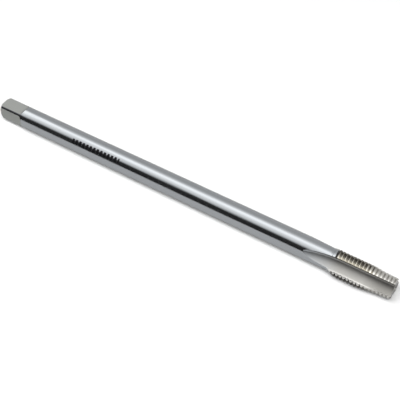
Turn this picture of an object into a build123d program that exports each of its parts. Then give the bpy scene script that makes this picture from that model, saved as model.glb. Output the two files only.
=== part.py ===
"""Long-shank machine tap with three straight flutes and a right-hand fine thread, in millimetres.

The tap is ground from one bar of high speed steel. Its axis is X, with the drive square at the
origin and the cutting end towards +X. It lies as it comes to rest on a bench: on its shank, with
one flute down, rolled a little over until it is about to lean on the edge of a land.
"""
from build123d import *
from math import acos, asin, atan2, ceil, cos, degrees, radians, sin, sqrt, tan
import os

# Shank and drive square
overall_length = 160.0
shank_diameter = 8.0
square_across_flats = 6.2
square_length = 9.0
square_cutter_nose = 1.5
square_turn = -5.0
drive_end_bevel = 0.6

# Thread
thread_diameter = 10.06
thread_root_diameter = 8.25
thread_pitch = 1.25
flank_angle = 60.0
crest_flat = 0.16
thread_length = 22.4
rear_cone_length = 3.5
thread_phase = 0.1

# Chamfer that does the cutting, and the pilot ahead of it
chamfer_length = 9.9
chamfer_small_diameter = 8.6
pilot_length = 4.2
tip_diameter = 8.16
tip_bevel = 0.35
chamfer_relief = 0.6

# Flutes
flute_count = 3
flute_opening = 83.6
rake_angle = 12.0
flute_corner_radius = 1.1
flute_core_diameter = 4.16
flute_floor_radius = 8.0
flute_floor_direction = 19.1
heel_break_diameter = 8.6
flute_behind_thread = 9.0
wheel_radius = 40.0
plunge_angle = 65.0

# Centre holes that the tap was ground between
centre_mouth_diameter = 2.4
centre_pilot_diameter = 1.0
centre_pilot_depth = 2.6
centre_angle = 60.0

# Room that a cutting tool is given past the metal
over_travel = 2.0
groove_clearance = 0.3
groove_overlap = 16.0

# How far the tap has rolled from the rest that has a flute straight down
rest_lean = 3.6

shank_radius = shank_diameter / 2
major_radius = thread_diameter / 2
root_radius = thread_root_diameter / 2
tip_radius = tip_diameter / 2
core_radius = flute_core_diameter / 2
flute_length = thread_length + flute_behind_thread
land_step = 360.0 / flute_count
tool_reach = major_radius + over_travel
thread_start = overall_length - thread_length
chamfer_start = overall_length - chamfer_length
pilot_start = overall_length - pilot_length
chamfer_slope = (major_radius - chamfer_small_diameter / 2) / (chamfer_length - pilot_length)
cone_back = chamfer_start - over_travel / chamfer_slope


def turned_blank():
    """The bar as turned: bevelled drive end, shank, rear cone and the full thread diameter."""
    bevelled_radius = shank_radius - drive_end_bevel
    with BuildPart() as blank:
        with BuildSketch(Plane.XY):
            with BuildLine():
                Polyline(
                    (0, 0),
                    (0, bevelled_radius),
                    (drive_end_bevel, shank_radius),
                    (thread_start, shank_radius),
                    (thread_start + rear_cone_length, major_radius),
                    (overall_length, major_radius),
                    (overall_length, 0),
                    close=True,
                )
            make_face()
        revolve(axis=Axis.X)
    return blank.part


def chamfer_cone():
    """What is left inside the chamfer grind: a cone for the chamfer and a slow one for the pilot."""
    bevel_start = overall_length - tip_bevel
    bevel_slope = tip_bevel + over_travel
    with BuildPart() as cone:
        with BuildSketch(Plane.XY):
            with BuildLine():
                Polyline(
                    (cone_back, 0),
                    (cone_back, tool_reach),
                    (pilot_start, chamfer_small_diameter / 2),
                    (bevel_start, tip_radius),
                    (bevel_start + bevel_slope, tip_radius - bevel_slope),
                    (bevel_start + bevel_slope, 0),
                    close=True,
                )
            make_face()
        revolve(axis=Axis.X)
    return cone.part


def chamfer_cut():
    """Metal ground off one land ahead of the full thread, falling away behind its cutting edge."""
    with BuildPart() as sector:
        with BuildSketch(Plane.YZ.offset(cone_back)):
            with BuildLine():
                start = direction_at(plunge_angle - land_step) * tool_reach
                end = direction_at(plunge_angle) * tool_reach
                Line((0, 0), (start.X, start.Y))
                RadiusArc((start.X, start.Y), (end.X, end.Y), -tool_reach)
                Line((end.X, end.Y), (0, 0))
            make_face()
        extrude(amount=overall_length + over_travel - cone_back)
    return sector.part - Pos(Z=chamfer_relief) * chamfer_cone()


def groove_over_land():
    """One short run of the helical groove, over a land and a little of the flute on each side."""
    depth = major_radius - root_radius
    mouth = thread_pitch - crest_flat
    root_width = mouth - 2 * depth * tan(radians(flank_angle / 2))
    turn = land_step - flute_opening + 2 * groove_overlap
    helix = Helix(thread_pitch, thread_pitch * turn / 360, root_radius, direction=(1, 0, 0))
    start = helix @ 0
    outward = Vector(0, start.Y, start.Z).normalized()
    with BuildPart() as groove:
        with BuildSketch(Plane(origin=start, x_dir=outward, z_dir=helix % 0)):
            with BuildLine():
                Polyline(
                    (0, -root_width / 2),
                    (depth, -mouth / 2),
                    (depth + groove_clearance, -mouth / 2),
                    (depth + groove_clearance, mouth / 2),
                    (depth, mouth / 2),
                    (0, root_width / 2),
                    close=True,
                )
            make_face()
        sweep(path=helix, is_frenet=True)
    start_angle = degrees(atan2(start.Z, start.Y))
    return Rot(X=flute_opening - groove_overlap - start_angle) * groove.part


def thread_grooves():
    """The whole right-hand thread: each land carries the groove a third of a pitch further on."""
    groove = groove_over_land()
    turns = ceil((thread_length + thread_pitch) / thread_pitch)
    grooves = []
    for land in range(flute_count):
        advance = thread_pitch * (land / flute_count + thread_phase)
        for turn in range(turns):
            place = thread_start + advance + turn * thread_pitch
            grooves.append(Pos(X=place) * Rot(X=land * land_step) * groove)
    return grooves


def direction_at(angle):
    """Unit vector in the section of the tap, at an angle from the cutting edge."""
    return Vector(cos(radians(angle)), sin(radians(angle)))


cutting_edge = direction_at(0) * major_radius
heel_edge = direction_at(flute_opening) * major_radius
rake_out = direction_at(rake_angle)
plunge = direction_at(plunge_angle)
floor_distance = core_radius + flute_floor_radius
floor_centre = direction_at(flute_floor_direction) * floor_distance


def direction_on_floor(radius):
    """Where the round floor of the flute crosses a circle about the tap's axis, on the heel side."""
    reach = floor_distance**2 + radius**2 - flute_floor_radius**2
    return direction_at(flute_floor_direction + degrees(acos(reach / (2 * floor_distance * radius))))


def flute_section(plane):
    """Section of one flute: hooked rake face, round floor and backed-off heel, open to the outside."""
    past_centre = rake_out.dot(cutting_edge - floor_centre)
    to_edge = (cutting_edge - floor_centre).length
    rake_depth = past_centre + sqrt(past_centre**2 - to_edge**2 + flute_floor_radius**2)
    corner = cutting_edge - rake_out * rake_depth
    heel_break = direction_on_floor(heel_break_diameter / 2) * (heel_break_diameter / 2)
    heel_out = (heel_edge - heel_break).normalized()
    rake_end = cutting_edge + rake_out * tool_reach
    heel_end = heel_edge + heel_out * tool_reach
    deepest = direction_at(flute_floor_direction) * core_radius
    with BuildSketch(plane) as section:
        with BuildLine():
            ThreePointArc(
                (heel_break.X, heel_break.Y),
                (deepest.X, deepest.Y),
                (corner.X, corner.Y),
            )
            Polyline(
                (corner.X, corner.Y),
                (rake_end.X, rake_end.Y),
                (heel_end.X, heel_end.Y),
                (heel_break.X, heel_break.Y),
            )
        make_face()
        floor_corner = section.vertices().sort_by_distance(plane.from_local_coords(corner))[0]
        fillet(floor_corner, flute_corner_radius)
    return section.sketch


def flute_cutter():
    """A straight flute whose rear end rises on the round of the grinding wheel."""
    clear = flute_floor_radius + shank_radius
    along = plunge.dot(floor_centre)
    rise = sqrt(along**2 - floor_distance**2 + clear**2) - along
    runout = sqrt(wheel_radius**2 - (wheel_radius - rise) ** 2)
    straight_start = overall_length - flute_length + runout
    section = flute_section(Plane.YZ.offset(straight_start))
    straight = extrude(section, amount=overall_length + over_travel - straight_start)
    wheel_distance = wheel_radius + core_radius
    wheel_axis = Axis(
        (straight_start, plunge.X * wheel_distance, plunge.Y * wheel_distance),
        (0, -plunge.Y, plunge.X),
    )
    sweep_angle = degrees(asin((runout + tool_reach) / (wheel_radius - major_radius)))
    rising = revolve(section, axis=wheel_axis, revolution_arc=-sweep_angle)
    return straight + rising


def square_cutter():
    """Metal ground off one side of the drive square, ending in the round of the wheel's nose."""
    flat = square_across_flats / 2
    with BuildPart() as cutter:
        with BuildSketch(Plane.XZ):
            with BuildLine():
                Line((-over_travel, flat), (square_length, flat))
                RadiusArc(
                    (square_length, flat),
                    (square_length + square_cutter_nose, flat + square_cutter_nose),
                    -square_cutter_nose,
                )
                Polyline(
                    (square_length + square_cutter_nose, flat + square_cutter_nose),
                    (square_length + square_cutter_nose, tool_reach),
                    (-over_travel, tool_reach),
                    (-over_travel, flat),
                )
            make_face()
        extrude(amount=tool_reach, both=True)
    return cutter.part


def centre_hole():
    """A centre hole drilled into the end at the origin, along +X."""
    mouth_radius = centre_mouth_diameter / 2
    pilot_radius = centre_pilot_diameter / 2
    cone_depth = (mouth_radius - pilot_radius) / tan(radians(centre_angle / 2))
    with BuildPart() as hole:
        with BuildSketch(Plane.XY):
            with BuildLine():
                Polyline(
                    (0, 0),
                    (0, mouth_radius),
                    (cone_depth, pilot_radius),
                    (centre_pilot_depth, pilot_radius),
                    (centre_pilot_depth + pilot_radius * tan(radians(centre_angle / 2)), 0),
                    close=True,
                )
            make_face()
        revolve(axis=Axis.X)
    return hole.part


def build_tap():
    """Turn the blank, then grind the chamfer, the flutes, the thread and the drive square."""
    tap = turned_blank()
    for land in range(flute_count):
        tap -= Rot(X=land * land_step) * chamfer_cut()
    for flute in range(flute_count):
        tap -= Rot(X=flute * land_step) * flute_cutter()
    tap -= thread_grooves()
    flute_down = rest_lean - 90 - flute_opening / 2
    tap = Rot(X=flute_down) * tap
    for side in range(4):
        tap -= Rot(X=side * 90 + square_turn + rest_lean) * square_cutter()
    tap -= centre_hole()
    tap -= Pos(X=overall_length) * Rot(Z=180) * centre_hole()
    return tap


tap = build_tap()
tap.label = "tap"
os.makedirs("parts", exist_ok=True)
export_step(tap, "parts/tap.step")
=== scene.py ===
"""A long-shank machine tap on a white studio floor, with a finely stepped thread and its finish."""
import math
from types import SimpleNamespace

import bmesh
import bpy
import numpy as np
from mathutils import Matrix, Vector
from mathutils.geometry import tessellate_polygon


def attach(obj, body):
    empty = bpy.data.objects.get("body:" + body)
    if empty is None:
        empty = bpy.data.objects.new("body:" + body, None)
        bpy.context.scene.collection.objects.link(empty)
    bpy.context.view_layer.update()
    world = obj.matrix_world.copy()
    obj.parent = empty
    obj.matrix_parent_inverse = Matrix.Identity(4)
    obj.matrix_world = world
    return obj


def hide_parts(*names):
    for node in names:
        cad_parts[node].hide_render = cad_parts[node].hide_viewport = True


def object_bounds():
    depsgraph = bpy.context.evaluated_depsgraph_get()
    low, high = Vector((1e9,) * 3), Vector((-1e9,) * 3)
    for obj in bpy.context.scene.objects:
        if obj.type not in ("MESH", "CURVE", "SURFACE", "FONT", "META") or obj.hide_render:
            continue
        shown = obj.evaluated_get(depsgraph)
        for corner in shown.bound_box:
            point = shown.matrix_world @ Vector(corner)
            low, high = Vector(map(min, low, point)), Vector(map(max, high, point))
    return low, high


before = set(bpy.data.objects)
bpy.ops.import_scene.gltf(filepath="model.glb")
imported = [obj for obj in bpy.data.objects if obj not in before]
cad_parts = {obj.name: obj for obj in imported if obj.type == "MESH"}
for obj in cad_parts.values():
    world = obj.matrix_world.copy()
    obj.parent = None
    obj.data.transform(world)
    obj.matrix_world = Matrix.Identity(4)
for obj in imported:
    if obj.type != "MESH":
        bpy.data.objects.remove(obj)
cad_low, cad_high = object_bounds()

MM = 0.001

# The tap's reach in metres, read from the frame
MIDDLE = cad_high.x / 2
FLOOR_Z = cad_low.z

# How the camera sees the tap, in degrees and metres
IMAGE_SIZE = 400
FOCAL_PIXELS = 899.0
SENSOR_WIDTH = 36.0
CLIP_START = 0.01
VIEW_ABOUT_AXIS = 125.3
VIEW_ALONG_AXIS = 21.0
IMAGE_TURN = 25.04
VIEW_DISTANCE = 310.6 * MM
AIM_ALONG = 87.4 * MM
AIM_ASIDE = 0.684 * MM

# The light tent over the tap, in metres. Its radiance is given by the angle about the tap's axis,
# from +Y towards +Z: dark past the far edge, a soft peak overhead, and dark above the near side.
TENT_RADIUS = 0.8
TENT_LENGTH = 3.2
TENT_STEPS = 60
TENT_PROFILE = (
    (0, 1.05),
    (28, 0.88),
    (50, 0.96),
    (67, 1.7),
    (79, 2.95),
    (91, 2.8),
    (108, 1.95),
    (120, 1.6),
    (130.5, 0.75),
    (137.5, 0.05),
    (177, 0.05),
    (180, 0.08),
)

# The lamp over the floor, the world and the floor, in degrees and metres
LAMP_ANGLE = 109.0
LAMP_DISTANCE = 1.7
LAMP_WIDTH = 1.0
LAMP_LENGTH = 2.7
LAMP_RADIANCE = 5.4
WORLD_FILL = 0.15
FLOOR_SIZE = 4.0
FLOOR_WHITE = 0.8
FLOOR_GLOW = 0.1
FLOOR_FAR_GLOW = 0.85
FLOOR_NEAR = 0.25
FLOOR_FAR = 1.5

# Form of the tap, in millimetres and degrees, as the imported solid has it. Angles in its section
# count from the cutting edge of the first flute, which lies FIRST_EDGE away from +Y.
TAP_LENGTH = 160.0
SHANK_RADIUS = 4.0
END_BEVEL = 0.6
SQUARE_SIDES = 4
FLAT_HEIGHT = 3.1
SQUARE_LENGTH = 9.0
SQUARE_NOSE = 1.5
NOSE_REACH = 1.372
FIRST_FLAT = -91.4
FIRST_EDGE = -128.2
THREAD_START = 137.6
THREAD_RADIUS = 5.03
ROOT_RADIUS = 4.125
PITCH = 1.25
ROOT_FLAT = 0.045
HALF_FLANK = 30.0
GROOVE_START = 67.6
GROOVE_PHASE = 0.1
REAR_CONE = 3.5
PILOT_START = 155.8
PILOT_RADIUS = 4.3
CHAMFER_SLOPE = 0.12807
PILOT_SLOPE = 0.05714
BEVEL_START = 159.65
RELIEF = 0.6
FLUTES = 3
SECTOR = 120.0
OPENING = 83.6
RAKE = 12.0
CORNER_RADIUS = 1.1
CORE_RADIUS = 2.08
FLOOR_RADIUS = 8.0
FLOOR_DIRECTION = 19.1
HEEL_BREAK_RADIUS = 4.3
WHEEL_RADIUS = 40.0
PLUNGE = 65.0
FLUTE_START = 128.7
FLUTE_STRAIGHT = 142.67
MOUTH_RADIUS = 1.2
PILOT_HOLE_RADIUS = 0.5
PILOT_HOLE_DEPTH = 2.6
CENTRE_HALF_ANGLE = 30.0

# Fine form that the solid leaves out: the shallow end of the thread, up to the tip
FINE_START = 151.0
FINE_FULL = 155.5
FINE_DEPTH = 0.22
FINE_HALF_WIDTH = 0.36

# How the tap's mesh is divided. The overruns carry the flute's section past the tap's outside.
# The shear, which bends the rows along the helix, fades in and out at the thread's two ends.
RAKE_POINTS = 160
CORNER_POINTS = 60
FLOOR_POINTS = 200
HEEL_POINTS = 120
RAKE_OVERRUN = 2.0
HEEL_OVERRUN = 3.0
FLUTE_STEPS = 26
LAND_STEPS = 18
FLAT_STEPS = 28
QUARTER_STEPS = 33
FIRST_SQUARE_ROW = 1.5
SQUARE_ROWS = 5
NOSE_ROWS = 14
FIRST_SHANK_ROW = 10.5
SHANK_ROWS = 24
ROW_GAP = 0.05
RUNOUT_ROWS = 36
THREAD_STEPS = 24
LEAST_STEP = 0.02
SHEAR_FADES_IN = 1.5
SHEAR_FADES_OUT = 0.6
CENTRE_STEPS = 48
CENTRE_TURN = 1.3
SHARP_ANGLE = 28.0

# Where each finish, painted highlight and painted shade lies on the tap, in millimetres along it
# and from its axis, and in degrees from a cutting edge. Below GROUND_RADIUS the steel is a flat or
# a flute, and at the tip that limit drops by GROUND_DROP. Beside the thread all is flute up to
# FLUTE_ANGLE, whatever its radius.
ABRUPT = 0.1
SQUARE_END = 10.2
GROUND_RADIUS = 3.94
GROUND_BLEND = 0.024
GROUND_DROP = 0.55
FLUTES_SEEN = 126.0
FLUTE_ANGLE = 77.5
FLUTE_ANGLE_BLEND = 1.0
WARM_START = 129.6
WARM_BLEND = 12.0
# Where the flutes' heel facet takes its painted highlight
HEEL_START = 66.0
HEEL_BLEND = 4.0
HEEL_SEEN = 135.0
HEEL_SEEN_BLEND = 4.0
THREAD_BLEND = 0.5
LAND_SEEN = 139.3
LAND_BLEND = 0.3
# The band of painted shade where the thread starts
BAND_END = 140.0
BAND_BLEND = 0.5
CREST_START = 4.86
# Where the tip's fresh steel takes over from the lands' painted highlight and shade
TIP_BLEND_START = 150.0
FRESH_START = 156.0

# Half the width of the shade in the thread's groove, and its soft edge, in turns of the thread
SHADE_HALF_WIDTH = 0.12
SHADE_BLEND = 0.2

# Gloss of the steel, and the grain of its grinding lines and smudges
SHANK_ROUGHNESS = 0.155
SQUARE_ROUGHNESS = 0.42
FLUTE_ROUGHNESS = 0.3
THREAD_ROUGHNESS = 0.17
FLUTE_METALLIC = 0.84
GRAZING_TINT = 0.66
SMUDGE_SCALE = (90, 260, 260)
SMUDGE_DETAIL = 3.0
SMUDGE_ROUGHNESS = 0.08
RINGS_SCALE = (9000, 150, 150)
LINES_SCALE = (150, 6000, 6000)
LINES_DETAIL = 2.0
LINES_STRENGTH = 0.12
LINES_DEPTH = 0.01 * MM

# Colours of the steel, with painted highlights and painted shade on the flutes and lands
SHANK_COLOUR = (0.295, 0.308, 0.32, 1)
SQUARE_COLOUR = (0.275, 0.282, 0.27, 1)
FLUTE_COLOUR = (0.255, 0.25, 0.237, 1)
FLUTE_TIP_COLOUR = (0.19, 0.185, 0.172, 1)
# Painted highlight on the flutes' heel facet
HEEL_HIGHLIGHT_COLOUR = (0.58, 0.57, 0.545, 1)
# On the lands: a painted highlight by the cutting edge, lighter on the flanks than on the crests to
# even out the shade in the groove, and painted shade towards the heel, deeper on the land
# underneath and in the band where the thread starts. Their warm tone is the steel's own.
FLANK_HIGHLIGHT_COLOUR = (0.64, 0.62, 0.565, 1)
LAND_SHADE_COLOUR = (0.172, 0.16, 0.139, 1)
DEEP_SHADE_COLOUR = (0.085, 0.078, 0.068, 1)
CREST_HIGHLIGHT_COLOUR = (0.42, 0.4, 0.355, 1)
# Painted shade in the thread's groove at the tip, and the tip's fresh steel, which there also
# carries the heel facet's painted highlight
GROOVE_SHADE_COLOUR = (0.2, 0.19, 0.172, 1)
FRESH_STEEL_AND_HIGHLIGHT_COLOUR = (0.48, 0.47, 0.445, 1)

# Plain etched bars on the shank, in millimetres and degrees. BARS_SLANT is in degrees a millimetre.
BARS_START = 34.2
BARS_END = 54.8
BAR_STEP = 1.55
BAR_WIDTH = 0.95
BARS_ANGLE = 133.5
BARS_HALF_HEIGHT = 13.0
BARS_SLANT = 0.2
ETCHED_COLOUR = (0.018, 0.018, 0.02, 1)
ETCHED_ROUGHNESS = 0.5


def about_axis(angle):
    """Unit vector square to the tap's axis, at an angle from +Y towards +Z in degrees."""
    return Vector((0, math.cos(math.radians(angle)), math.sin(math.radians(angle))))


def add_object(name, data):
    """A new object in the scene."""
    added = bpy.data.objects.new(name, data)
    bpy.context.scene.collection.objects.link(added)
    return added


def add_mesh(name, vertices, faces):
    """A new mesh object in the scene."""
    mesh = bpy.data.meshes.new(name)
    mesh.from_pydata(vertices, [], faces)
    return add_object(name, mesh)


def new_material(name):
    """A material without nodes, and its node tree."""
    material = bpy.data.materials.new(name)
    material.use_nodes = True
    material.node_tree.nodes.clear()
    return material, material.node_tree


def grey(level):
    """A colour without hue."""
    return (level, level, level, 1)


def feed(tree, value, socket):
    """Gives a socket a plain value, or links another node's output to it."""
    if isinstance(value, bpy.types.NodeSocket):
        tree.links.new(value, socket)
    else:
        socket.default_value = value


def add_node(tree, kind, inputs):
    """A new node, with values or other nodes' outputs on inputs given by name or number."""
    node = tree.nodes.new(kind)
    for name, value in inputs.items():
        feed(tree, value, node.inputs[name])
    return node


def math_node(tree, operation, *values):
    """The result of a math node on one or two values."""
    node = add_node(tree, "ShaderNodeMath", dict(enumerate(values)))
    node.operation = operation
    return node.outputs[0]


def times(tree, first, *others):
    """The product of some values."""
    for other in others:
        first = math_node(tree, "MULTIPLY", first, other)
    return first


def inverse(tree, share):
    """What a share leaves of 1."""
    return math_node(tree, "SUBTRACT", 1.0, share)


def beyond(tree, value, start, blend):
    """0 below a start and 1 above it, with a short blend."""
    step = math_node(tree, "DIVIDE", math_node(tree, "SUBTRACT", value, start), blend)
    step.node.use_clamp = True
    return step


def blend_value(tree, share, first, second):
    """A number that goes from a first to a second value with a share."""
    node = tree.nodes.new("ShaderNodeMix")
    node.data_type = "FLOAT"
    for value, socket in zip((share, first, second), (0, 2, 3)):
        feed(tree, value, node.inputs[socket])
    return node.outputs[0]


def blend_colour(tree, share, first, second):
    """A colour that goes from a first to a second with a share."""
    node = tree.nodes.new("ShaderNodeMix")
    node.data_type = "RGBA"
    for value, socket in zip((share, first, second), (0, 6, 7)):
        feed(tree, value, node.inputs[socket])
    return node.outputs[2]


def seen_directly(tree):
    """1 for rays from the camera, from gloss and through glass, and 0 for the rest."""
    path = tree.nodes.new("ShaderNodeLightPath").outputs
    glossy = math_node(tree, "MAXIMUM", path["Is Camera Ray"], path["Is Glossy Ray"])
    return math_node(tree, "MAXIMUM", glossy, path["Is Transmission Ray"])


def make_camera():
    """The camera, at the photograph's angle to the tap."""
    lean = math.radians(VIEW_ALONG_AXIS)
    turn = math.radians(IMAGE_TURN)
    axis = Vector((1, 0, 0))
    outward = about_axis(VIEW_ABOUT_AXIS)
    towards_camera = math.cos(lean) * outward + math.sin(lean) * axis
    along = math.cos(lean) * axis - math.sin(lean) * outward
    aside = about_axis(VIEW_ABOUT_AXIS + 90)
    right = math.cos(turn) * along - math.sin(turn) * aside
    down = math.sin(turn) * along + math.cos(turn) * aside
    place = AIM_ALONG * axis + VIEW_DISTANCE * towards_camera + AIM_ASIDE * aside
    data = bpy.data.cameras.new("camera")
    data.sensor_width = SENSOR_WIDTH
    data.lens = FOCAL_PIXELS / IMAGE_SIZE * SENSOR_WIDTH
    data.clip_start = CLIP_START
    camera = add_object("camera", data)
    turned = Matrix((right, -down, towards_camera)).transposed()
    camera.matrix_world = Matrix.Translation(place) @ turned.to_4x4()
    bpy.context.scene.camera = camera


def make_world():
    """White where it is looked at or mirrored, and a mild fill for the rest."""
    world = bpy.data.worlds.new("studio")
    bpy.context.scene.world = world
    world.use_nodes = True
    tree = world.node_tree
    tree.nodes.clear()
    fill = add_node(tree, "ShaderNodeBackground", {"Color": grey(1), "Strength": WORLD_FILL})
    white = add_node(tree, "ShaderNodeBackground", {"Color": grey(1)})
    shaders = {0: seen_directly(tree), 1: fill.outputs[0], 2: white.outputs[0]}
    mix = add_node(tree, "ShaderNodeMixShader", shaders)
    add_node(tree, "ShaderNodeOutputWorld", {"Surface": mix.outputs[0]})


def floor_material():
    """Matt white that glows a little where it is looked at, and more so far from the tap."""
    material, tree = new_material("floor")
    matt = add_node(tree, "ShaderNodeBsdfDiffuse", {"Color": grey(FLOOR_WHITE)})
    place = tree.nodes.new("ShaderNodeTexCoord").outputs["Object"]
    away = add_node(tree, "ShaderNodeVectorMath", {0: place})
    away.operation = "LENGTH"
    far = beyond(tree, away.outputs["Value"], FLOOR_NEAR, FLOOR_FAR - FLOOR_NEAR)
    level = blend_value(tree, far, FLOOR_GLOW, FLOOR_FAR_GLOW)
    strength = times(tree, seen_directly(tree), level)
    glow = add_node(tree, "ShaderNodeEmission", {"Strength": strength})
    both = add_node(tree, "ShaderNodeAddShader", {0: matt.outputs[0], 1: glow.outputs[0]})
    add_node(tree, "ShaderNodeOutputMaterial", {"Surface": both.outputs[0]})
    return material


def make_floor():
    """The white floor, which takes the tap's shadow."""
    half = FLOOR_SIZE / 2
    corners = [(-half, -half, 0), (half, -half, 0), (half, half, 0), (-half, half, 0)]
    floor = add_mesh("floor", corners, [(0, 1, 2, 3)])
    floor.location = (MIDDLE, 0, FLOOR_Z)
    floor.data.materials.append(floor_material())


def make_lamp():
    """The broad lamp over the floor, which draws the tap's soft shadow."""
    data = bpy.data.lights.new("lamp", "AREA")
    data.shape = "RECTANGLE"
    data.size = LAMP_LENGTH
    data.size_y = LAMP_WIDTH
    data.energy = LAMP_RADIANCE * math.pi * LAMP_LENGTH * LAMP_WIDTH
    lamp = add_object("lamp", data)
    outward = about_axis(LAMP_ANGLE)
    axis = Vector((1, 0, 0))
    turned = Matrix((axis, outward.cross(axis), outward)).transposed()
    place = Vector((MIDDLE, 0, 0)) + LAMP_DISTANCE * outward
    lamp.matrix_world = Matrix.Translation(place) @ turned.to_4x4()
    lamp.visible_glossy = False


def tent_material():
    """Emission of the tent, by the angle about the tap's axis."""
    material, tree = new_material("tent")
    place = tree.nodes.new("ShaderNodeTexCoord").outputs["Object"]
    apart = add_node(tree, "ShaderNodeSeparateXYZ", {0: place}).outputs
    angle = math_node(tree, "ARCTAN2", apart["Z"], apart["Y"])
    ramp = add_node(tree, "ShaderNodeValToRGB", {0: math_node(tree, "DIVIDE", angle, math.pi)})
    ramp.color_ramp.interpolation = "EASE"
    peak = max(radiance for _, radiance in TENT_PROFILE)
    stops = ramp.color_ramp.elements
    while len(stops) < len(TENT_PROFILE):
        stops.new(0.5)
    for stop, (degrees, radiance) in zip(stops, TENT_PROFILE):
        stop.position = degrees / 180
        stop.color = grey(radiance / peak)
    light = {"Color": ramp.outputs[0], "Strength": peak}
    glow = add_node(tree, "ShaderNodeEmission", light)
    add_node(tree, "ShaderNodeOutputMaterial", {"Surface": glow.outputs[0]})
    return material


def make_tent():
    """The light tent: half a tube about the tap's axis, which only the steel's gloss sees."""
    vertices = []
    faces = []
    for step in range(TENT_STEPS + 1):
        arm = TENT_RADIUS * about_axis(180 * step / TENT_STEPS)
        vertices.append((-TENT_LENGTH / 2, arm.y, arm.z))
        vertices.append((TENT_LENGTH / 2, arm.y, arm.z))
        if step:
            last = 2 * step
            faces.append((last - 2, last - 1, last + 1, last))
    tent = add_mesh("tent", vertices, faces)
    tent.location = (MIDDLE, 0, 0)
    tent.data.materials.append(tent_material())
    tent.visible_camera = False
    tent.visible_diffuse = False
    tent.visible_shadow = False


def direction(angle):
    """Unit vector in the tap's section, at an angle in degrees."""
    return np.array((np.cos(np.radians(angle)), np.sin(np.radians(angle))))


def arc(centre, radius, start, end, count):
    """Points of an arc about a centre, from a start to an end angle."""
    return [centre + radius * direction(angle) for angle in np.linspace(start, end, count)]


def angle_of(vector):
    """The angle of a vector in degrees."""
    return math.degrees(math.atan2(vector[1], vector[0]))


def flute_curve():
    """Section of the flute where it is straight: rake face, corner, round floor and heel facet."""
    edge = THREAD_RADIUS * direction(0)
    rake = direction(RAKE)
    square_to_rake = direction(RAKE + 90)
    distance = CORE_RADIUS + FLOOR_RADIUS
    centre = distance * direction(FLOOR_DIRECTION)
    start = edge + CORNER_RADIUS * square_to_rake - centre
    half = float(start @ rake)
    inside = (FLOOR_RADIUS - CORNER_RADIUS) ** 2 - float(start @ start)
    reach = -half - math.sqrt(half**2 + inside)
    corner = edge + CORNER_RADIUS * square_to_rake + reach * rake
    onto_floor = angle_of(corner - centre)
    corner_end = onto_floor - 360 * (onto_floor > 0)
    squares = distance**2 + HEEL_BREAK_RADIUS**2 - FLOOR_RADIUS**2
    turn = math.degrees(math.acos(squares / (2 * distance * HEEL_BREAK_RADIUS)))
    heel_break = HEEL_BREAK_RADIUS * direction(FLOOR_DIRECTION + turn)
    heel_edge = THREAD_RADIUS * direction(OPENING)
    heel_out = (heel_edge - heel_break) / np.linalg.norm(heel_edge - heel_break)
    onto_heel = angle_of(heel_break - centre)
    points = [edge + share * rake for share in np.linspace(RAKE_OVERRUN, reach, RAKE_POINTS)]
    points += arc(corner, CORNER_RADIUS, RAKE - 90, corner_end, CORNER_POINTS)[1:]
    points += arc(centre, FLOOR_RADIUS, onto_floor % 360, onto_heel % 360, FLOOR_POINTS)[1:]
    for share in np.linspace(0, HEEL_OVERRUN, HEEL_POINTS)[1:]:
        points.append(heel_break + share * heel_out)
    return np.array(points)


def raised(curve, x):
    """The flute's section at a place, lifted where the grinding wheel rises out of the metal."""
    before = FLUTE_STRAIGHT - x
    if before <= 0:
        return curve
    out = direction(PLUNGE)
    across = direction(PLUNGE + 90)
    wheel = WHEEL_RADIUS + CORE_RADIUS
    depth = curve @ out
    lifted = wheel - np.sqrt((wheel - depth) ** 2 - before**2)
    return np.outer(lifted, out) + np.outer(curve @ across, across)


def surface_radius(x, angle):
    """Radius of the tap outside its flutes, by the place along it and the angle in its section."""
    x, angle = np.broadcast_arrays(np.asarray(x, float), np.asarray(angle, float))
    cone = SHANK_RADIUS + (x - THREAD_START) * (THREAD_RADIUS - SHANK_RADIUS) / REAR_CONE
    radius = np.clip(cone, SHANK_RADIUS, THREAD_RADIUS)
    behind = np.radians((angle - PLUNGE) % SECTOR + PLUNGE - SECTOR)
    slope = np.where(x < PILOT_START, CHAMFER_SLOPE, PILOT_SLOPE)
    chamfer = PILOT_RADIUS + (PILOT_START - x) * slope - np.clip(x - BEVEL_START, 0, None)
    relieved = RELIEF * np.sin(behind) + np.sqrt(chamfer**2 - (RELIEF * np.cos(behind)) ** 2)
    ground = np.minimum(radius, relieved)
    turns = (x - THREAD_START) / PITCH - GROOVE_PHASE - (angle - GROOVE_START) / 360
    aside = np.abs(turns - np.round(turns)) * PITCH
    flank = np.clip(aside - ROOT_FLAT / 2, 0, None) / math.tan(math.radians(HALF_FLANK))
    fading = np.clip((x - FINE_START) / (FINE_FULL - FINE_START), 0, 1)
    fine = FINE_DEPTH * fading * np.clip(1 - (aside / FINE_HALF_WIDTH) ** 2, 0, None)
    threaded = np.minimum(ROOT_RADIUS + flank, ground - fine)
    return np.where(x > THREAD_START, np.minimum(ground, threaded), radius)


def helix_shear(x, angle):
    """How far a row of the mesh is drawn along the tap so that it follows the thread."""
    fading_in = np.clip((x - THREAD_START) / SHEAR_FADES_IN, 0, 1)
    fading_out = np.clip((TAP_LENGTH - x) / SHEAR_FADES_OUT, 0, 1)
    middle = (OPENING + SECTOR) / 2
    return fading_in * fading_out * PITCH * (angle - middle) / 360


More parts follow.
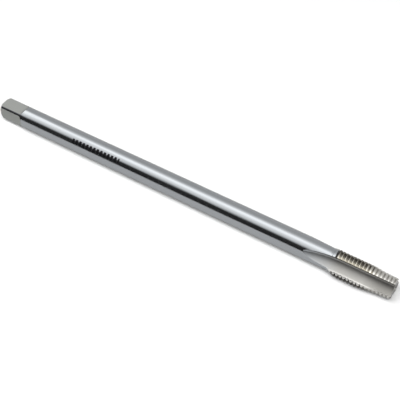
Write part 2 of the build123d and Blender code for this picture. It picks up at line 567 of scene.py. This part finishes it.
def flute_points(curve, x, turn):
    """Points across one flute at a place, with the angles where it meets the tap's outside."""
    distance = np.hypot(curve[:, 0], curve[:, 1])
    angle = np.degrees(np.arctan2(curve[:, 1], curve[:, 0]))
    share = np.linspace(1, 0, len(curve))
    shear = share * helix_shear(x, SECTOR) + (1 - share) * helix_shear(x, OPENING)
    past = distance - surface_radius(x + shear, angle + turn)
    inside = np.nonzero(past < 0)[0]
    first, last = inside[0], inside[-1]
    ends = []
    for outer, inner in ((first - 1, first), (last + 1, last)):
        part = past[outer] / (past[outer] - past[inner])
        ends.append(curve[outer] + part * (curve[inner] - curve[outer]))
    path = np.vstack((ends[0], curve[first : last + 1], ends[1]))
    steps = np.linalg.norm(np.diff(path, axis=0), axis=1)
    travelled = np.concatenate(((0,), np.cumsum(steps)))
    stops = np.linspace(0, travelled[-1], FLUTE_STEPS + 1)
    points = np.stack([np.interp(stops, travelled, path[:, side]) for side in (0, 1)], axis=1)
    return points, angle_of(ends[0]), angle_of(ends[1])


def turned_section(points, turn):
    """Points in the tap's section, turned about its axis."""
    cosine, sine = direction(turn)
    return points @ np.array(((cosine, sine), (-sine, cosine)))


def fluted_row(curve, x):
    """One closed row of points round the tap where it is fluted."""
    lifted = raised(curve, x)
    found = [flute_points(lifted, x, sector * SECTOR) for sector in range(FLUTES)]
    row = []
    for sector, (points, edge, heel) in enumerate(found):
        turn = sector * SECTOR
        shears = np.linspace(
            helix_shear(x, SECTOR + edge), helix_shear(x, heel), FLUTE_STEPS + 1
        )
        row.append(np.column_stack((x + shears, turned_section(points, turn))))
        next_edge = SECTOR + found[(sector + 1) % FLUTES][1]
        angles = np.linspace(heel, next_edge, LAND_STEPS + 1)[1:-1]
        places = x + helix_shear(x, angles)
        radii = surface_radius(places, angles + turn)
        row.append(np.column_stack((places, (radii * direction(angles + turn)).T)))
    row = np.vstack(row)
    return np.column_stack((row[:, 0], turned_section(row[:, 1:], FIRST_EDGE)))


def square_row(x):
    """The angles and the radii of one closed row round the drive square."""
    outside = min(SHANK_RADIUS, SHANK_RADIUS - END_BEVEL + x)
    past = max(0.0, x - SQUARE_LENGTH)
    nose = SQUARE_NOSE - math.sqrt(SQUARE_NOSE**2 - past**2)
    flat = min(FLAT_HEIGHT + nose, outside)
    half = math.degrees(math.acos(flat / outside))
    side_angle = 360 / SQUARE_SIDES
    across = np.linspace(-half, half, FLAT_STEPS + 1)
    corner = np.linspace(half, side_angle - half, QUARTER_STEPS - FLAT_STEPS + 1)[1:-1]
    middles = FIRST_FLAT + side_angle * np.arange(SQUARE_SIDES)
    angles = np.concatenate([middle + np.append(across, corner) for middle in middles])
    side_radii = np.append(flat / np.cos(np.radians(across)), np.full(len(corner), outside))
    return angles, np.tile(side_radii, SQUARE_SIDES)


def round_row(x, angles, radii):
    """A row of points given by their angles and radii."""
    return np.column_stack((np.full(len(angles), x), (radii * direction(angles)).T))


def tap_rows():
    """All rows of the tap's outside, from the drive end to the tip."""
    flats = np.linspace(FIRST_SQUARE_ROW, SQUARE_LENGTH, SQUARE_ROWS)
    noses = SQUARE_LENGTH + np.linspace(0, NOSE_REACH, NOSE_ROWS)[1:]
    rows = []
    for x in (0.0, END_BEVEL, *flats, *noses):
        angles, radii = square_row(x)
        rows.append(round_row(x, angles, radii))
    curve = flute_curve()
    first = fluted_row(curve, FLUTE_START)
    meeting = np.degrees(np.unwrap(np.arctan2(first[:, 2], first[:, 1])))
    meeting += 360 * round((angles[0] - meeting[0]) / 360)
    for share in np.linspace(0, 1, SHANK_ROWS + 1)[1:]:
        x = FIRST_SHANK_ROW + share * (FLUTE_START - ROW_GAP - FIRST_SHANK_ROW)
        rows.append(round_row(x, angles + share * (meeting - angles), SHANK_RADIUS))
    runout = np.linspace(0, 1, RUNOUT_ROWS) ** 2 * (THREAD_START - FLUTE_START) + FLUTE_START
    thread = np.arange(THREAD_START, TAP_LENGTH - LEAST_STEP, PITCH / THREAD_STEPS)[1:]
    thread = thread[np.abs(thread - BEVEL_START) > LEAST_STEP]
    for x in sorted((*runout, *thread, BEVEL_START, TAP_LENGTH)):
        rows.append(fluted_row(curve, x))
    return rows


def centre_rows(end, inward):
    """Rows of a centre hole, from its mouth to the end of its round wall."""
    angles = np.linspace(0, 360, CENTRE_STEPS, endpoint=False) + CENTRE_TURN
    cone = (MOUTH_RADIUS - PILOT_HOLE_RADIUS) / math.tan(math.radians(CENTRE_HALF_ANGLE))
    wall = ((0, MOUTH_RADIUS), (cone, PILOT_HOLE_RADIUS), (PILOT_HOLE_DEPTH, PILOT_HOLE_RADIUS))
    return [round_row(end + inward * depth, angles, radius) for depth, radius in wall]


def tube(vertices, faces, rows):
    """Adds closed rows of points with the same count, each joined to the next.

    Returns the numbers of the first vertex of the first row and of the last row.
    """
    count = len(rows[0])
    start = len(vertices)
    for row in rows:
        vertices.extend(map(tuple, row * MM))
    for step in range(len(rows) - 1):
        low = start + step * count
        for place in range(count):
            beside = (place + 1) % count
            faces.append((low + place, low + beside, low + count + beside, low + count + place))
    return start, start + (len(rows) - 1) * count


def close_end(vertices, faces, ring, count, end, inward):
    """Closes one end of the tap with a face that surrounds a centre hole, and adds the hole."""
    hole = centre_rows(end, inward)
    mouth, bottom = tube(vertices, faces, hole)
    corners = [*range(ring, ring + count), *range(mouth, mouth + CENTRE_STEPS)]
    flat = [Vector((*vertices[corner][1:], 0)) for corner in corners]
    for face in tessellate_polygon((flat[:count], flat[count:])):
        faces.append(tuple(corners[corner] for corner in face))
    point = PILOT_HOLE_RADIUS * math.tan(math.radians(CENTRE_HALF_ANGLE))
    vertices.append(((end + inward * (PILOT_HOLE_DEPTH + point)) * MM, 0, 0))
    for place in range(CENTRE_STEPS):
        beside = (place + 1) % CENTRE_STEPS
        faces.append((bottom + place, bottom + beside, len(vertices) - 1))


def shade(mesh, first_fluted, count):
    """Smooth faces, with sharp edges where the surface bends hard and along the flutes' rims."""
    step = FLUTE_STEPS + LAND_STEPS
    rims = [sector * step + side for sector in range(FLUTES) for side in (0, FLUTE_STEPS)]
    shape = bmesh.new()
    shape.from_mesh(mesh)
    bmesh.ops.recalc_face_normals(shape, faces=shape.faces)
    shape.verts.index_update()
    for face in shape.faces:
        face.smooth = True
    for edge in shape.edges:
        edge.smooth = edge.calc_face_angle() < math.radians(SHARP_ANGLE)
        first, second = sorted(vertex.index for vertex in edge.verts)
        if first >= first_fluted and second == first + count and first % count in rims:
            edge.smooth = False
    shape.to_mesh(mesh)
    shape.free()


def make_tap():
    """The tap with its thread in fine steps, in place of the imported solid's mesh."""
    vertices = []
    faces = []
    rows = tap_rows()
    count = len(rows[0])
    drive, tip = tube(vertices, faces, rows)
    close_end(vertices, faces, drive, count, 0.0, 1)
    close_end(vertices, faces, tip, count, TAP_LENGTH, -1)
    body = add_mesh("tap_body", vertices, faces)
    shade(body.data, sum(row[0][0] < FLUTE_START for row in rows) * count, count)
    body.data.materials.append(ground_steel())
    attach(body, "root")
    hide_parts("tap")


def scaled(tree, place, scale):
    """A place, scaled in its three directions."""
    node = add_node(tree, "ShaderNodeVectorMath", {0: place, 1: scale})
    node.operation = "MULTIPLY"
    return node.outputs[0]


def grain(tree, place, scale, detail):
    """Noise that is drawn out along the grinding lines by its three scales."""
    settings = {"Vector": scaled(tree, place, scale), "Scale": 1.0, "Detail": detail}
    return add_node(tree, "ShaderNodeTexNoise", settings).outputs["Fac"]


def bars_share(tree, along, around):
    """1 on the etched bars and 0 beside them."""
    slanted = math_node(tree, "ADD", around, times(tree, along, BARS_SLANT))
    middle = BARS_ANGLE + BARS_SLANT * (BARS_START + BARS_END) / 2
    away = math_node(tree, "ABSOLUTE", math_node(tree, "SUBTRACT", slanted, middle))
    return times(
        tree,
        math_node(tree, "LESS_THAN", away, BARS_HALF_HEIGHT),
        math_node(tree, "LESS_THAN", math_node(tree, "FLOORED_MODULO", along, BAR_STEP), BAR_WIDTH),
        math_node(tree, "GREATER_THAN", along, BARS_START),
        math_node(tree, "LESS_THAN", along, BARS_END),
    )


def groove_share(tree, along, from_edge):
    """1 in the thread's groove and 0 on its crest."""
    turns = math_node(tree, "DIVIDE", math_node(tree, "SUBTRACT", along, THREAD_START), PITCH)
    turned = math_node(tree, "SUBTRACT", from_edge, GROOVE_START)
    turns = math_node(tree, "SUBTRACT", turns, math_node(tree, "DIVIDE", turned, 360.0))
    aside = math_node(tree, "PINGPONG", math_node(tree, "SUBTRACT", turns, GROOVE_PHASE), 0.5)
    return inverse(tree, beyond(tree, aside, SHADE_HALF_WIDTH, SHADE_BLEND))


def measure(tree, place):
    """Where a point lies on the tap, and the share from 0 to 1 that each finish has there.

    Lengths are in millimetres and angles in degrees: around counts from +Y, from_edge from the
    first cutting edge, and angle from the last one.
    """
    in_millimetres = scaled(tree, place, (1 / MM, 1 / MM, 1 / MM))
    apart = add_node(tree, "ShaderNodeSeparateXYZ", {0: in_millimetres}).outputs
    at = SimpleNamespace(along=apart["X"])
    squares = [times(tree, apart[side], apart[side]) for side in ("Y", "Z")]
    at.radius = math_node(tree, "SQRT", math_node(tree, "ADD", *squares))
    around = math_node(tree, "DEGREES", math_node(tree, "ARCTAN2", apart["Z"], apart["Y"]))
    at.from_edge = math_node(tree, "SUBTRACT", around, FIRST_EDGE)
    at.angle = math_node(tree, "FLOORED_MODULO", at.from_edge, SECTOR)

    at.on_tip = beyond(tree, at.along, TIP_BLEND_START, FRESH_START - TIP_BLEND_START)
    drop = times(tree, at.on_tip, GROUND_DROP)
    bare = beyond(tree, math_node(tree, "ADD", at.radius, drop), GROUND_RADIUS, GROUND_BLEND)
    sunk = inverse(tree, bare)
    before_square_end = inverse(tree, beyond(tree, at.along, SQUARE_END, ABRUPT))
    at.on_square = times(tree, before_square_end, sunk)
    in_flute = math_node(tree, "LESS_THAN", at.angle, FLUTE_ANGLE)
    in_flute = times(tree, in_flute, beyond(tree, at.along, THREAD_START, FLUTE_ANGLE_BLEND))
    inner = math_node(tree, "MAXIMUM", sunk, in_flute)
    at.on_flutes = times(tree, inner, beyond(tree, at.along, FLUTES_SEEN, ABRUPT))
    at.on_thread = beyond(tree, at.along, THREAD_START, THREAD_BLEND)
    past_start = beyond(tree, at.along, LAND_SEEN, LAND_BLEND)
    at.on_land = times(tree, past_start, inverse(tree, at.on_flutes))
    at.on_bars = bars_share(tree, at.along, around)
    return at


def flute_colour(tree, at):
    """Colour of the flutes: a painted highlight on the heel facet, and darker towards the tip."""
    on_heel_highlight = times(
        tree,
        beyond(tree, at.angle, HEEL_START, HEEL_BLEND),
        math_node(tree, "LESS_THAN", at.angle, OPENING),
        beyond(tree, at.along, HEEL_SEEN, HEEL_SEEN_BLEND),
    )
    flute = blend_colour(tree, on_heel_highlight, FLUTE_COLOUR, HEEL_HIGHLIGHT_COLOUR)
    tip = blend_colour(tree, on_heel_highlight, FLUTE_TIP_COLOUR, FRESH_STEEL_AND_HIGHLIGHT_COLOUR)
    return blend_colour(tree, at.on_tip, flute, tip)


def land_colour(tree, at):
    """Colour of the lands: a painted highlight by the cutting edges, painted shade towards the
    heels, and fresh steel at the tip, with painted shade in its groove.

    The flanks are painted lighter than the crests to even out the shade in the groove. The land
    underneath has deeper painted shade all over, and each land begins with a band of painted shade.
    """
    from_next_edge = math_node(tree, "SUBTRACT", SECTOR, at.angle)
    behind_edge = math_node(tree, "DIVIDE", from_next_edge, SECTOR - OPENING)
    first_land = math_node(tree, "LESS_THAN", at.from_edge, 0.0)
    land_shade = blend_colour(tree, first_land, LAND_SHADE_COLOUR, DEEP_SHADE_COLOUR)
    share = math_node(tree, "MAXIMUM", behind_edge, first_land)
    flank = blend_colour(tree, share, FLANK_HIGHLIGHT_COLOUR, land_shade)
    crest = blend_colour(tree, share, CREST_HIGHLIGHT_COLOUR, land_shade)
    land = blend_colour(tree, beyond(tree, at.radius, CREST_START, ABRUPT), flank, crest)
    past_band = beyond(tree, at.along, BAND_END, BAND_BLEND)
    land = blend_colour(tree, past_band, DEEP_SHADE_COLOUR, land)
    in_groove = groove_share(tree, at.along, at.from_edge)
    shaded = times(tree, in_groove, math_node(tree, "SQRT", behind_edge))
    tip = blend_colour(tree, shaded, FRESH_STEEL_AND_HIGHLIGHT_COLOUR, GROOVE_SHADE_COLOUR)
    return blend_colour(tree, at.on_tip, land, tip)


def steel_colour(tree, at):
    """Colour of the whole tap."""
    warmed = times(tree, beyond(tree, at.along, WARM_START, WARM_BLEND), at.on_flutes)
    colour = blend_colour(tree, warmed, SHANK_COLOUR, flute_colour(tree, at))
    colour = blend_colour(tree, at.on_land, colour, land_colour(tree, at))
    colour = blend_colour(tree, at.on_square, colour, SQUARE_COLOUR)
    return blend_colour(tree, at.on_bars, colour, ETCHED_COLOUR)


def steel_roughness(tree, at, place):
    """Roughness of the whole tap, with faint smudges."""
    rough = blend_value(tree, at.on_square, SHANK_ROUGHNESS, SQUARE_ROUGHNESS)
    rough = blend_value(tree, at.on_thread, rough, THREAD_ROUGHNESS)
    rough = blend_value(tree, at.on_flutes, rough, FLUTE_ROUGHNESS)
    rough = blend_value(tree, at.on_bars, rough, ETCHED_ROUGHNESS)
    smudges = grain(tree, place, SMUDGE_SCALE, SMUDGE_DETAIL)
    smudges = times(tree, math_node(tree, "SUBTRACT", smudges, 0.5), SMUDGE_ROUGHNESS)
    return math_node(tree, "ADD", rough, smudges)


def grinding_lines(tree, at, place):
    """Normals with fine lines: rings round the shank and lands, and long lines in the flutes."""
    rings = grain(tree, place, RINGS_SCALE, LINES_DETAIL)
    lines = grain(tree, place, LINES_SCALE, LINES_DETAIL)
    height = blend_value(tree, at.on_flutes, rings, lines)
    settings = {"Strength": LINES_STRENGTH, "Distance": LINES_DEPTH, "Height": height}
    return add_node(tree, "ShaderNodeBump", settings).outputs[0]


def ground_steel():
    """High speed steel: polished round the shank, and ground matt on the square and the flutes."""
    material, tree = new_material("ground_steel")
    place = tree.nodes.new("ShaderNodeTexCoord").outputs["Object"]
    at = measure(tree, place)
    finish = {
        "Base Color": steel_colour(tree, at),
        "Metallic": blend_value(tree, at.on_flutes, 1.0, FLUTE_METALLIC),
        "Roughness": steel_roughness(tree, at, place),
        "Specular Tint": grey(GRAZING_TINT),
        "Normal": grinding_lines(tree, at, place),
    }
    steel = add_node(tree, "ShaderNodeBsdfPrincipled", finish)
    add_node(tree, "ShaderNodeOutputMaterial", {"Surface": steel.outputs[0]})
    return material


make_camera()
make_world()
make_floor()
make_lamp()
make_tent()
make_tap()

bpy.context.scene.view_settings.view_transform = "Standard"
